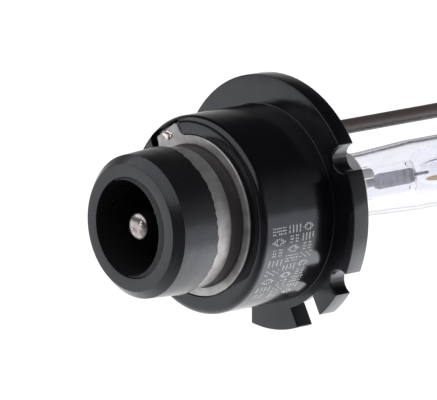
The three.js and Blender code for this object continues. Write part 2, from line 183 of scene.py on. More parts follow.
def make_camera():
    azimuth = math.radians(CAMERA_AZIMUTH)
    elevation = math.radians(CAMERA_ELEVATION)
    back = Vector((
        math.sin(azimuth) * math.cos(elevation),
        -math.cos(azimuth) * math.cos(elevation),
        math.sin(elevation),
    ))
    right = Vector((math.cos(azimuth), math.sin(azimuth), 0.0))
    up = back.cross(right)
    flange_rear = Vector((-FLANGE_THICKNESS, 0, 0)) * MM
    target = flange_rear - right * AIM_LEFT * MM + up * AIM_UP * MM
    data = bpy.data.cameras.new("camera")
    data.lens = CAMERA_LENS
    data.sensor_width = CAMERA_SENSOR
    data.clip_start = 0.05
    data.clip_end = 20.0
    camera = bpy.data.objects.new("camera", data)
    camera.rotation_mode = "QUATERNION"
    camera.rotation_quaternion = (-back).to_track_quat("-Z", "Y")
    camera.location = target + back * CAMERA_DISTANCE
    bpy.context.scene.collection.objects.link(camera)
    bpy.context.scene.camera = camera


make_camera()


# ---- Node helpers ------------------------------------

class Shader:
    """A node material with its Principled shader, and short calls to add nodes."""

    def __init__(self, name, **sockets):
        self.material = bpy.data.materials.new(name)
        self.material.use_nodes = True
        self.nodes = self.material.node_tree.nodes
        self.links = self.material.node_tree.links
        self.principled = self.nodes["Principled BSDF"]
        for key, value in sockets.items():
            self.principled.inputs[key.replace("_", " ")].default_value = value
        coordinates = self.nodes.new("ShaderNodeTexCoord")
        mapping = self.nodes.new("ShaderNodeMapping")
        mapping.inputs["Scale"].default_value = (1000.0, 1000.0, 1000.0)
        self.link(coordinates.outputs["Object"], mapping.inputs["Vector"])
        self.millimetres = mapping.outputs["Vector"]

    def link(self, source, target):
        self.links.new(source, target)

    def noise(self, scale, detail=3.0, roughness=0.55, stretch=None):
        node = self.nodes.new("ShaderNodeTexNoise")
        node.inputs["Scale"].default_value = scale
        node.inputs["Detail"].default_value = detail
        node.inputs["Roughness"].default_value = roughness
        self.link(self.stretched(stretch), node.inputs["Vector"])
        return node.outputs["Fac"]

    def specks(self, spacing, size, stretch=None):
        """White where a speck is: small dots on a loose random grid."""
        node = self.nodes.new("ShaderNodeTexVoronoi")
        node.inputs["Scale"].default_value = 1.0 / spacing
        self.link(self.stretched(stretch), node.inputs["Vector"])
        return self.ramp(node.outputs["Distance"], [(0.0, 1.0), (size / spacing, 0.0)])

    def stretched(self, stretch):
        if stretch is None:
            return self.millimetres
        mapping = self.nodes.new("ShaderNodeMapping")
        mapping.inputs["Scale"].default_value = stretch
        self.link(self.millimetres, mapping.inputs["Vector"])
        return mapping.outputs["Vector"]

    def ramp(self, source, stops):
        """Grey or colour for a 0 to 1 source: stops are (position, value)."""
        node = self.nodes.new("ShaderNodeValToRGB")
        elements = node.color_ramp.elements
        while len(elements) > 1:
            elements.remove(elements[-1])
        for index, (position, value) in enumerate(stops):
            element = elements[0] if index == 0 else elements.new(position)
            element.position = position
            colour = value if isinstance(value, tuple) else (value, value, value)
            element.color = (*colour, 1.0)
        self.link(source, node.inputs["Fac"])
        return node.outputs["Color"]

    def mix(self, factor, first, second):
        """Colour mix; first and second are colours or sockets."""
        node = self.nodes.new("ShaderNodeMix")
        node.data_type = "RGBA"
        self.link(factor, node.inputs["Factor"])
        for key, value in (("A", first), ("B", second)):
            socket = next(s for s in node.inputs if s.name == key and s.type == "RGBA")
            if isinstance(value, tuple):
                socket.default_value = (*value, 1.0)
            else:
                self.link(value, socket)
        return next(s for s in node.outputs if s.type == "RGBA")

    def set(self, socket, source):
        self.link(source, self.principled.inputs[socket])

    def bump(self, height, depth, after=None):
        """Bump whose height of 1 stands for depth in millimetres."""
        node = self.nodes.new("ShaderNodeBump")
        node.inputs["Distance"].default_value = depth * MM
        self.link(height, node.inputs["Height"])
        if after is not None:
            self.link(after, node.inputs["Normal"])
        self.link(node.outputs["Normal"], self.principled.inputs["Normal"])
        return node.outputs["Normal"]


# ---- Materials ---------------------------------------

def black_plastic(name, dark, light, roughness, speck_spacing):
    """Moulded black plastic with a fine grain, a slight waviness and a few specks of dust."""
    shader = Shader(name, IOR=1.5, Specular_Tint=(0.88, 0.91, 1.0, 1.0))
    cloud = shader.noise(0.5, 4.0)
    base = shader.mix(cloud, dark, light)
    dust = shader.specks(speck_spacing, 0.07)
    shader.set("Base Color", shader.mix(dust, base, (0.42, 0.42, 0.42)))
    grain = shader.noise(3.0, 5.0)
    uneven = shader.ramp(grain, [(0.3, roughness * 0.85), (0.7, roughness * 1.2)])
    shader.set("Roughness", shader.mix(dust, uneven, (0.8, 0.8, 0.8)))
    pebble = shader.bump(shader.noise(9.0, 2.0), 0.0015)
    shader.bump(shader.noise(0.35, 1.0), 0.05, after=pebble)
    return shader.material


def satin_metal(name, bright, dull, roughness, stain_scale, brushed=None, metallic=1.0):
    """Worn metal: bright with dull stains, and brushed lines or fine pits in its surface."""
    shader = Shader(name, Metallic=metallic)
    stain = shader.noise(stain_scale, 6.0, 0.62)
    patch = shader.ramp(stain, [(0.36, 0.0), (0.66, 1.0)])
    shader.set("Base Color", shader.mix(patch, bright, dull))
    fine = shader.noise(6.0, 4.0)
    shader.set("Roughness", shader.ramp(fine, [(0.3, roughness * 0.8), (0.7, roughness * 1.25)]))
    lines = shader.noise(9.0, 3.0, stretch=brushed) if brushed else shader.noise(11.0, 3.0)
    shader.bump(lines, 0.006)
    return shader.material


def quartz_glass(name, tint, edge_shade_tint, edge_shade_start, ior):
    """Clear glass with painted shade where it is seen edge on, with faint smears and drawing lines."""
    shader = Shader(name, Transmission_Weight=1.0, IOR=ior)
    # Painted shade: the tint turns darker where the glass is seen edge on, standing in for its dark
    # edges.
    facing = shader.nodes.new("ShaderNodeLayerWeight")
    edge = shader.ramp(facing.outputs["Facing"], [(edge_shade_start, 0.0), (edge_shade_start + 0.14, 1.0)])
    shader.set("Base Color", shader.mix(edge, tint, edge_shade_tint))
    smear = shader.noise(0.8, 4.0)
    shader.set("Roughness", shader.ramp(smear, [(0.5, 0.0), (0.85, 0.03)]))
    shader.bump(shader.noise(0.55, 2.0, stretch=(0.3, 1.0, 1.0)), 0.006)
    return shader.material


def ceramic():
    """Dark brown-grey fired ceramic with small pits."""
    shader = Shader("dark_ceramic", IOR=1.72)
    cloud = shader.noise(0.7, 5.0)
    base = shader.mix(cloud, (0.072, 0.056, 0.054), (0.112, 0.090, 0.085))
    pits = shader.specks(0.6, 0.05)
    shader.set("Base Color", shader.mix(pits, base, (0.03, 0.024, 0.022)))
    shader.set("Roughness", shader.ramp(shader.noise(2.0), [(0.3, 0.36), (0.7, 0.5)]))
    shader.bump(shader.noise(7.0, 4.0), 0.012)
    return shader.material


def salt():
    """Amber crust of melted crystals."""
    shader = Shader("halide_crystals")
    grains = shader.noise(4.0, 4.0)
    shader.set("Base Color", shader.mix(grains, (0.62, 0.33, 0.07), (0.85, 0.58, 0.26)))
    shader.set("Roughness", shader.ramp(grains, [(0.3, 0.3), (0.7, 0.7)]))
    shader.bump(shader.noise(9.0, 2.0), 0.05)
    return shader.material


def laser_mark():
    """Pale roughened plastic."""
    shader = Shader("laser_mark", IOR=1.45)
    patch = shader.noise(2.5, 3.0)
    shader.set("Base Color", shader.mix(patch, (0.42, 0.43, 0.46), (0.62, 0.63, 0.66)))
    shader.set("Roughness", shader.ramp(patch, [(0.3, 0.6), (0.7, 0.85)]))
    return shader.material


CAP_PLASTIC = black_plastic(
    "cap_plastic", (0.003, 0.003, 0.004), (0.006, 0.006, 0.008), roughness=0.17, speck_spacing=3.4)
NOSE_PLASTIC = black_plastic(
    "nose_plastic", (0.009, 0.009, 0.010), (0.015, 0.015, 0.017), roughness=0.27, speck_spacing=2.9)
RIB_PLASTIC = black_plastic(
    "rib_plastic", (0.004, 0.004, 0.005), (0.008, 0.008, 0.009), roughness=0.6, speck_spacing=2.6)
# Dark brownish colour for the band that fills the groove between the sleeve and the flat ring.
GROOVE_DARK = black_plastic(
    "groove_dark", (0.034, 0.029, 0.027), (0.052, 0.044, 0.041), roughness=0.42, speck_spacing=4.0)
NICKEL = satin_metal(
    "contact_nickel", (0.49, 0.485, 0.49), (0.31, 0.295, 0.29),
    roughness=0.42, stain_scale=0.45, metallic=0.6)
PIN_METAL = satin_metal(
    "pin_nickel", (0.50, 0.46, 0.45), (0.20, 0.17, 0.165), roughness=0.24, stain_scale=1.2)
WELD_METAL = satin_metal(
    "weld_metal", (0.86, 0.82, 0.80), (0.44, 0.39, 0.38), roughness=0.2, stain_scale=2.0)
WIRE_METAL = satin_metal(
    "wire_nickel", (0.62, 0.60, 0.57), (0.45, 0.42, 0.39),
    roughness=0.3, stain_scale=0.8, brushed=(0.1, 1.0, 1.0))
CLAMP_METAL = satin_metal(
    "clamp_steel", (0.70, 0.69, 0.71), (0.62, 0.61, 0.63),
    roughness=0.5, stain_scale=0.6, brushed=(1.0, 1.0, 0.1), metallic=0.35)
MOLYBDENUM = satin_metal(
    "molybdenum", (0.46, 0.47, 0.51), (0.30, 0.31, 0.35),
    roughness=0.42, stain_scale=0.9, brushed=(0.2, 1.0, 1.0))
TUNGSTEN = satin_metal(
    "tungsten", (0.36, 0.36, 0.38), (0.22, 0.22, 0.24), roughness=0.4, stain_scale=1.6)
# The edge tints are painted shade along the silhouettes of the glass.
OUTER_QUARTZ = quartz_glass(
    "outer_quartz", (0.93, 0.93, 0.97), (0.16, 0.15, 0.17), edge_shade_start=0.66, ior=1.46)
INNER_QUARTZ = quartz_glass(
    "inner_quartz", (0.95, 0.95, 0.98), (0.55, 0.55, 0.60), edge_shade_start=0.85, ior=1.2)
CERAMIC = ceramic()
SALT = salt()
LASER_MARK = laser_mark()


# ---- Mesh helpers ------------------------------------

def clock_point(x, radius, clock):
    angle = math.radians(clock)
    return Vector((x, radius * math.sin(angle), radius * math.cos(angle)))


def rounded(corners, steps=6):
    """Outline with its corners rounded: each corner is (first, second) or (first, second, radius)."""
    points = []
    count = len(corners)
    for index, corner in enumerate(corners):
        here = Vector(corner[:2])
        radius = corner[2] if len(corner) > 2 else 0.0
        before = Vector(corners[index - 1][:2])
        after = Vector(corners[(index + 1) % count][:2])
        if radius <= 0.0:
            points.append(here)
            continue
        to_before = (before - here).normalized()
        to_after = (after - here).normalized()
        half = to_before.angle(to_after) / 2.0
        reach = radius / math.tan(half)
        centre = here + (to_before + to_after).normalized() * (radius / math.sin(half))
        start = here + to_before * reach - centre
        sweep_angle = start.angle_signed(here + to_after * reach - centre)
        for step in range(steps + 1):
            turn = Matrix.Rotation(-sweep_angle * step / steps, 2)
            points.append(centre + turn @ start)
    return points


SQUARE_TO_AXIS = 0.9999


def new_piece(name, mesh, material, replaced=(), sharp=35.0):
    """Adds a finished mesh to the scene. Faces square to the bulb axis are flat, the rest smooth."""
    mesh.materials.append(material)
    mesh.polygons.foreach_set("use_smooth", [abs(f.normal.x) < SQUARE_TO_AXIS for f in mesh.polygons])
    mesh.set_sharp_from_angle(angle=math.radians(sharp))
    piece = bpy.data.objects.new(name, mesh)
    bpy.context.scene.collection.objects.link(piece)
    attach(piece, "root")
    if replaced:
        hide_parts(*replaced)
    return piece


def finish_mesh(bm, name, clock=None):
    """Turns a mesh built in millimetres into a Blender mesh in metres."""
    if clock is not None:
        bm.transform(Matrix.Rotation(-math.radians(clock), 4, "X"))
    bm.transform(Matrix.Scale(MM, 4))
    bmesh.ops.remove_doubles(bm, verts=bm.verts, dist=1e-8)
    bmesh.ops.recalc_face_normals(bm, faces=bm.faces)
    mesh = bpy.data.meshes.new(name)
    bm.to_mesh(mesh)
    bm.free()
    return mesh


def add_turned(bm, outline, sides, closed=True, shift=(0.0, 0.0)):
    """Turned body about a line parallel to X. The outline is (x, radius) points."""
    rings = []
    for x, radius in outline:
        if radius < 1e-6:
            rings.append([bm.verts.new((x, shift[0], shift[1]))] * sides)
            continue
        ring = []
        for side in range(sides):
            angle = 2 * math.pi * side / sides
            ring.append(bm.verts.new((
                x,
                shift[0] + radius * math.sin(angle),
                shift[1] + radius * math.cos(angle),
            )))
        rings.append(ring)
    pairs = list(zip(rings, rings[1:]))
    if closed:
        pairs.append((rings[-1], rings[0]))
    for first, second in pairs:
        for side in range(sides):
            after = (side + 1) % sides
            corners = []
            for vert in (first[side], first[after], second[after], second[side]):
                if vert not in corners:
                    corners.append(vert)
            if len(corners) > 2:
                bm.faces.new(corners)


def join_loops(bm, loops):
    """Bands of faces between neighbouring closed loops of vertices."""
    for first, second in zip(loops, loops[1:]):
        for side in range(len(first)):
            after = (side + 1) % len(first)
            bm.faces.new((first[side], first[after], second[after], second[side]))


def close_sheet(bm, upper, lower):
    """Faces of a thin body between two grids of vertices of the same shape."""
    lengths = len(upper) - 1
    across = len(upper[0]) - 1
    for rows in (upper, lower):
        for first, second in zip(rows, rows[1:]):
            for j in range(across):
                bm.faces.new((first[j], first[j + 1], second[j + 1], second[j]))
    for i in range(lengths):
        for j in (0, across):
            bm.faces.new((upper[i][j], upper[i + 1][j], lower[i + 1][j], lower[i][j]))
    for i in (0, lengths):
        for j in range(across):
            bm.faces.new((upper[i][j], upper[i][j + 1], lower[i][j + 1], lower[i][j]))


def offset_outline(points, distance):
    """Moves a closed outline inwards by distance, along the corner normals."""
    count = len(points)
    area = sum(points[i - 1].cross(points[i]) for i in range(count))
    side = 1.0 if area > 0 else -1.0
    moved = []
    for index, here in enumerate(points):
        incoming = (here - points[index - 1]).normalized()
        outgoing = (points[(index + 1) % count] - here).normalized()
        first = Vector((-incoming.y, incoming.x)) * side
        second = Vector((-outgoing.y, outgoing.x)) * side
        normal = (first + second).normalized()
        stretch = max(normal.dot(first), 0.35)
        moved.append(here + normal * (distance / stretch))
    return moved


def add_plate(bm, outline, start_x, end_x, edge, hole=None, steps=3):
    """Plate across the axis with rounded edges. The outline is (across, outward) points."""
    quarter = [math.pi / 2 * step / steps for step in range(steps + 1)]
    near = [(start_x + edge * (1 - math.cos(a)), edge * (1 - math.sin(a))) for a in quarter]
    far = [(start_x + end_x - x, inset) for x, inset in reversed(near)]
    for points, inwards in [(outline, 1.0)] + ([(hole, -1.0)] if hole else []):
        loops = []
        for x, inset in near + far:
            moved = offset_outline(points, inset * inwards)
            loops.append([bm.verts.new((x, p.x, p.y)) for p in moved])
        join_loops(bm, loops)
    for x in (near[0][0], far[-1][0]):
        rim = [e for e in bm.edges
               if len(e.link_faces) == 1 and all(abs(v.co.x - x) < 1e-4 for v in e.verts)]
        bmesh.ops.triangle_fill(bm, use_beauty=True, edges=rim)


def add_tube(bm, stations, radius, sides):
    """Round wire along stations, with domed ends."""

    def ring(centre, tangent, across, size):
        other = tangent.cross(across)
        angles = [2 * math.pi * side / sides for side in range(sides)]
        return [bm.verts.new(centre + (across * math.cos(a) + other * math.sin(a)) * size)
                for a in angles]

    def dome_ring(centre, tangent, across, inwards, angle):
        depth = radius * 0.35
        reach = math.cos(math.radians(angle)) * depth
        return ring(centre + tangent * (depth - reach) * inwards, tangent, across,
                    radius * math.sin(math.radians(angle)))

    frames = []
    across = None
    for index, here in enumerate(stations):
        before = stations[max(index - 1, 0)]
        after = stations[min(index + 1, len(stations) - 1)]
        tangent = (after - before).normalized()
        across = across or tangent.orthogonal().normalized()
        across = (across - tangent * across.dot(tangent)).normalized()
        frames.append((here, tangent, across))
    rings = [dome_ring(*frames[0], 1, angle) for angle in (15, 45, 70)]
    rings += [ring(*middle, radius) for middle in frames[1:-1]]
    rings += [dome_ring(*frames[-1], -1, angle) for angle in (70, 45, 15)]
    join_loops(bm, rings)
    bm.faces.new(rings[0])
    bm.faces.new(rings[-1])


def circle(radius, sides):
    angles = [2 * math.pi * side / sides for side in range(sides)]
    return [Vector((radius * math.sin(a), radius * math.cos(a))) for a in angles]


def cut_with(piece, cutter_mesh):
    """Cuts a closed mesh out of a piece and keeps the result as the piece's own mesh."""
    cutter = bpy.data.objects.new("cutter", cutter_mesh)
    bpy.context.scene.collection.objects.link(cutter)
    modifier = piece.modifiers.new("cut", "BOOLEAN")
    modifier.operation = "DIFFERENCE"
    modifier.solver = "EXACT"
    modifier.object = cutter
    bpy.context.view_layer.update()
    evaluated = piece.evaluated_get(bpy.context.evaluated_depsgraph_get())
    mesh = bpy.data.meshes.new_from_object(evaluated)
    piece.modifiers.clear()
    mesh.set_sharp_from_angle(angle=math.radians(35.0))
    piece.data = mesh
    bpy.data.objects.remove(cutter)


# ---- Cap ---------------------------------------------

def flange_outline():
    """Flange edge with its notches, going round by clock angle."""
    corners = []
    half = NOTCH_WIDTH / 2
    mouth = math.sqrt(FLANGE_RADIUS ** 2 - half ** 2)
    centre = NOTCH_FLOOR_RADIUS + half
    for clock in NOTCH_CLOCKS:
        local = [(-half, mouth, 0.12), (-half, centre)]
        for step in range(1, 12):
            angle = math.pi + math.pi * step / 12
            local.append((half * math.cos(angle), centre + half * math.sin(angle)))
        local += [(half, centre), (half, mouth, 0.12)]
        corners.append((clock, local))
    for clock, width, floor, shift in KEY_SLOTS:
        left = shift - width / 2
        right = shift + width / 2
        local = [
            (left, math.sqrt(FLANGE_RADIUS ** 2 - left ** 2), 0.15),
            (left, floor, 0.3),
            (right, floor, 0.3),
            (right, math.sqrt(FLANGE_RADIUS ** 2 - right ** 2), 0.15),
        ]
        corners.append((clock, local))
    spans = []
    for clock, local in corners:
        turn = Matrix.Rotation(-math.radians(clock), 2)
        placed = [(*(turn @ Vector(p[:2])), *p[2:]) for p in local]
        first = math.degrees(math.atan2(placed[0][0], placed[0][1]))
        last = math.degrees(math.atan2(placed[-1][0], placed[-1][1]))
        spans.append((first % 360, last % 360, placed))
    spans.sort(key=lambda span: span[0])
    outline = []
    for index, (first, last, placed) in enumerate(spans):
        outline += placed
        following = spans[(index + 1) % len(spans)][0]
        gap = (following - last) % 360
        count = max(int(gap / 2.5), 2)
        for step in range(1, count):
            angle = math.radians(last + gap * step / count)
            outline.append((FLANGE_RADIUS * math.sin(angle), FLANGE_RADIUS * math.cos(angle)))
    return rounded(outline, 4)


def make_cap_body():
    """Turned body with the front hub and well, and a pocket for the contact tab."""
    bm = bmesh.new()
    seam = -FLANGE_THICKNESS - 0.005
    spigot_bore = SPIGOT_RADIUS + FIT_GAP
    spigot_floor = SPIGOT_FRONT_X + FIT_GAP
    add_turned(bm, rounded([
        (BODY_REAR_X, 10.1, 0.08),
        (BODY_REAR_X, BODY_RADIUS, BODY_EDGE_ROUND),
        (seam, BODY_RADIUS, FLANGE_FILLET),
        (seam, 13.4),
        (-1.5, 13.3),
        (-1.5, HUB_RADIUS),
        (HUB_FRONT_X, HUB_RADIUS - 0.2, 0.3),
        (HUB_FRONT_X, WELL_RADIUS, 0.2),
        (WELL_FLOOR_X, WELL_RADIUS, 0.3),
        (WELL_FLOOR_X, 0.7, 0.1),
        (spigot_floor, 0.7),
        (spigot_floor, spigot_bore),
        (-13.8, spigot_bore),
        (-13.8, 10.1),
    ], 10), 180)
    piece = new_piece("cap_body", finish_mesh(bm, "cap_body"), CAP_PLASTIC, ["base_shell"])
    cutter = bmesh.new()
    pocket = rounded([(-2.5, 9.0), (3.5, 9.0), (3.5, 11.85, 0.5), (-2.5, 11.85, 0.5)], 5)
    add_plate(cutter, pocket, BODY_REAR_X - 1.0, BODY_REAR_X + 1.1, 0.15)
    cut_with(piece, finish_mesh(cutter, "pocket", RETURN_CLOCK))


def make_flange():
    bm = bmesh.new()
    add_plate(bm, flange_outline(), -FLANGE_THICKNESS, 0.0, 0.13, hole=circle(10.6, 96), steps=4)
    mesh = finish_mesh(bm, "cap_flange")
    new_piece("cap_flange", mesh, CAP_PLASTIC, ["base_shell"], 40)


def make_nose():
    """Turned socket nose with its spigot. Its front edge creeps unevenly over the sleeve."""
    bm = bmesh.new()
    foot_seat = SPIGOT_FRONT_X - PIN_FOOT_THICKNESS - FIT_GAP
    pin_bore = PIN_RADIUS + FIT_GAP
    add_turned(bm, rounded([
        (NOSE_REAR_X, SOCKET_RADIUS, 0.05),
        (NOSE_REAR_X, NOSE_FACE_RADIUS, 0.14),
        (NOSE_REAR_X + 1.1, NOSE_REAR_RADIUS, 0.12),
        (NOSE_REAR_X + 3.5, NOSE_REAR_RADIUS + 0.15),
        (NOSE_FRONT_X, NOSE_FRONT_RADIUS, 0.06),
        (NOSE_FRONT_X, SPIGOT_RADIUS),
        (SPIGOT_FRONT_X, SPIGOT_RADIUS),
        (SPIGOT_FRONT_X, PIN_FOOT_RADIUS + FIT_GAP),
        (foot_seat, PIN_FOOT_RADIUS + FIT_GAP),
        (foot_seat, pin_bore),
        (SOCKET_FLOOR_X, pin_bore, 0.1),
        (SOCKET_FLOOR_X, SOCKET_RADIUS, 0.4),
    ]), 240)
    for vert in bm.verts:
        rim = NOSE_FRONT_X - 0.2 < vert.co.x < NOSE_FRONT_X + 0.01
        if rim and math.hypot(vert.co.y, vert.co.z) > SLEEVE_RADIUS - 0.1:
            vert.co.x += moulding_flash(math.atan2(vert.co.y, vert.co.z))
    new_piece("socket_nose_moulding", finish_mesh(bm, "socket_nose_moulding"), NOSE_PLASTIC,
              ["socket_nose"])


def rib_radius(angle):
    """Distance from the axis to the off-centre bore, for an angle from +Z towards +Y."""
    across, outward = RIB_BORE_CENTRE
    along = across * math.sin(angle) + outward * math.cos(angle)
    off_tooth = (math.degrees(angle) - RIB_TOOTH_CLOCK) / RIB_TOOTH_SPREAD
    tooth = RIB_TOOTH_HEIGHT * math.exp(-off_tooth ** 2 / 2.0)
    return along + math.sqrt(along ** 2 - across ** 2 - outward ** 2 + RIB_BORE_RADIUS ** 2) - tooth


def make_socket_rib():
    """Crescent rib along the near side of the socket wall, with one small tooth."""
    angles = [math.radians(clock) for clock in RIB_CLOCKS]
    sunk = SOCKET_RADIUS + 0.05
    outer = [Vector((sunk * math.sin(a), sunk * math.cos(a))) for a in angles]
    inner = [Vector((rib_radius(a) * math.sin(a), rib_radius(a) * math.cos(a)))
             for a in reversed(angles)]
    bm = bmesh.new()
    add_plate(bm, outer + inner, RIB_REAR_X, SOCKET_FLOOR_X + 0.02, 0.04)
    new_piece("socket_rib", finish_mesh(bm, "socket_rib"), RIB_PLASTIC)


def moulding_flash(angle):
    """How far the nose edge creeps over the sleeve: a low wave with small torn steps."""
    wave = 0.11 * math.sin(3 * angle + 0.5) + 0.08 * math.sin(7 * angle + 2.0)
    torn = 0.13 * abs(math.sin(21 * angle + 1.6 * math.sin(5 * angle))) ** 3
    return 0.12 + wave + torn


# ---- Contacts ----------------------------------------

def make_contact_ring():
    """Sleeve, groove and flat ring in one, with the welding tab on the ring's edge."""
    bm = bmesh.new()
    inner = SPIGOT_RADIUS + FIT_GAP
    sleeve_rear = NOSE_FRONT_X + FIT_GAP
    add_turned(bm, rounded([
        (sleeve_rear, inner),
        (sleeve_rear, SLEEVE_RADIUS, 0.05),
        (SLEEVE_FRONT_X - 0.5, SLEEVE_RADIUS),
        (SLEEVE_FRONT_X, SLEEVE_RADIUS - 0.03, 0.08),
        (SLEEVE_FRONT_X, GROOVE_RADIUS),
        (RING_REAR_X + 0.2, GROOVE_RADIUS),
        (RING_REAR_X + 0.12, SLEEVE_RADIUS - 0.08),
        (RING_REAR_X, SLEEVE_RADIUS + 0.1, 0.15),
        (RING_REAR_X, RING_RADIUS, 0.2),
        (RING_REAR_X + RING_THICKNESS, RING_RADIUS, 0.1),
        (RING_REAR_X + RING_THICKNESS, inner),
    ]), 240)
    half = TAB_WIDTH / 2
    flare = TAB_FOOT_RADIUS + 0.23
    tab = rounded([
        (-half - 1.2, TAB_FOOT_RADIUS),
        (half + 1.2, TAB_FOOT_RADIUS),
        (half + 1.0, flare),
        (half, TAB_NECK_RADIUS, 1.0),
        (half - 0.1, TAB_OUTER_RADIUS - 0.45, 0.4),
        (-half + 0.1, TAB_OUTER_RADIUS, 0.5),
        (-half, TAB_NECK_RADIUS, 0.9),
        (-half - 1.0, flare),
    ], 6)
    tab_bm = bmesh.new()
    add_plate(tab_bm, tab, RING_REAR_X - 0.004, RING_REAR_X + RING_THICKNESS - 0.01, 0.1)
    tab_bm.transform(Matrix.Rotation(-math.radians(RETURN_CLOCK), 4, "X"))
    spare = bpy.data.meshes.new("tab")
    tab_bm.to_mesh(spare)
    tab_bm.free()
    bm.from_mesh(spare)
    bpy.data.meshes.remove(spare)
    new_piece("contact_ring", finish_mesh(bm, "contact_ring"), NICKEL,
              ["return_contact_ring"])


def make_groove_band():
    """Dark band in the groove between the sleeve and the flat ring."""
    bm = bmesh.new()
    add_turned(bm, rounded([
        (SLEEVE_FRONT_X + 0.02, GROOVE_RADIUS + 0.02),
        (SLEEVE_FRONT_X + 0.02, GROOVE_RADIUS + 0.17, 0.05),
        (-15.3, GROOVE_RADIUS + 0.1, 1.0),
        (RING_REAR_X + 0.05, GROOVE_RADIUS + 0.18),
        (RING_REAR_X + 0.15, GROOVE_RADIUS + 0.02),
    ]), 180)
    new_piece("groove_band", finish_mesh(bm, "groove_band"), GROOVE_DARK)


def add_nugget(bm, x, across, outward, radius, height):
    """Low dome of weld metal that stands up from x towards the rear."""
    outline = [(x - height * math.cos(a), radius * math.sin(a))
               for a in (math.pi / 2 * step / 6 for step in range(7))]
    outline += [(x + 0.02, radius), (x + 0.02, 0.0)]
    add_turned(bm, outline, 24, closed=False, shift=(across, outward))


def make_tab_weld():
    bm = bmesh.new()
    for across, outward, radius, height in TAB_WELDS:
        add_nugget(bm, RING_REAR_X, across, RETURN_TAB_RADIUS + outward, radius, height)
    new_piece("tab_weld", finish_mesh(bm, "tab_weld", RETURN_CLOCK), WELD_METAL,
              ["return_lead_weld"])


def make_pin():
    """Domed pin with a wide foot behind the socket floor, and weld beads on the dome."""
    bm = bmesh.new()
    foot_rear = SPIGOT_FRONT_X - PIN_FOOT_THICKNESS
    dome = [(PIN_TIP_X + PIN_DOME_DEPTH * (1 - math.cos(a)), PIN_RADIUS * math.sin(a) ** 0.9)
            for a in (math.pi / 2 * step / 14 for step in range(15))]
    add_turned(bm, dome + [
        (foot_rear, PIN_RADIUS),
        (foot_rear, PIN_FOOT_RADIUS),
        (SPIGOT_FRONT_X, PIN_FOOT_RADIUS),
        (SPIGOT_FRONT_X, 0.0),
    ], 64, closed=False)
    new_piece("centre_pin", finish_mesh(bm, "centre_pin"), PIN_METAL,
              ["high_voltage_pin"])
    weld = bmesh.new()
    for depth, across, outward, radius, height in PIN_WELDS:
        add_nugget(weld, PIN_TIP_X + depth, across, outward, radius, height)
    new_piece("pin_weld", finish_mesh(weld, "pin_weld"), WELD_METAL, ["pin_weld_bead"])


# ---- Burner ------------------------------------------

def make_outer_glass():
    """Thin-walled outer bulb, closed on to the stems of the arc tube at both ends."""
    bm = bmesh.new()
    neck = STEM_RADIUS + FIT_GAP
    wall = BULB_WALL
    add_turned(bm, rounded([
        (4.5, neck, 0.1),
        (4.5, 2.9, 0.3),
        (5.4, BULB_REAR_RADIUS, 1.0),
        (14.0, BULB_REAR_RADIUS + 0.05, 20.0),
        (22.0, BULB_RADIUS, 20.0),
        (35.0, BULB_RADIUS, 18.0),
        (42.0, BULB_RADIUS - 1.3, 6.0),
        (44.5, 2.75, 0.25),
        (44.5, neck, 0.1),
        (43.6, neck, 0.3),
        (41.2, BULB_RADIUS - 1.2 - wall, 4.0),
        (34.8, BULB_RADIUS - wall, 16.0),
        (22.2, BULB_RADIUS - wall, 20.0),
        (14.0, BULB_REAR_RADIUS + 0.05 - wall, 20.0),
        (6.2, BULB_REAR_RADIUS - wall, 0.5),
        (5.4, neck, 0.3),
    ], 8), 128)
    new_piece("outer_glass", finish_mesh(bm, "outer_glass"), OUTER_QUARTZ, ["outer_bulb"], 60)


def make_arc_glass():
    """Solid stems and arc bulb, with the arc chamber as a hollow inside."""
    bm = bmesh.new()
    add_turned(bm, rounded([
        (2.0, 0.0),
        (2.0, STEM_RADIUS, 0.3),
        (14.6, STEM_RADIUS, 3.0),
        (15.4, STEM_RADIUS - 0.12, 3.0),
        (21.0, STEM_RADIUS - 0.1, 1.5),
        (22.4, STEM_RADIUS - 0.25, 1.2),
        (24.6, 3.25, 2.6),
        (29.6, 3.25, 2.6),
        (31.8, STEM_RADIUS - 0.25, 1.2),
        (33.2, STEM_RADIUS - 0.1, 1.5),
        (39.0, STEM_RADIUS - 0.12, 3.0),
        (39.8, STEM_RADIUS, 3.0),
        (46.6, STEM_RADIUS, 0.4),
        (46.6, 0.0),
    ], 8), 96, closed=False)
    bmesh.ops.recalc_face_normals(bm, faces=bm.faces)
    outside = set(bm.faces)
    half = CHAMBER_HALF_LENGTH
    chamber = [(ARC_CENTRE_X - half * math.cos(a), CHAMBER_RADIUS * math.sin(a) ** 0.8)
               for a in (math.pi * step / 28 for step in range(29))]
    chamber[0] = (chamber[0][0], 0.0)
    chamber[-1] = (chamber[-1][0], 0.0)
    add_turned(bm, chamber, 64, closed=False)
    inside = [face for face in bm.faces if face not in outside]
    bmesh.ops.recalc_face_normals(bm, faces=inside)
    bmesh.ops.reverse_faces(bm, faces=inside)
    bm.transform(Matrix.Scale(MM, 4))
    mesh = bpy.data.meshes.new("arc_glass")
    bm.to_mesh(mesh)
    bm.free()
    new_piece("arc_glass", mesh, INNER_QUARTZ, ["arc_tube"], 60)


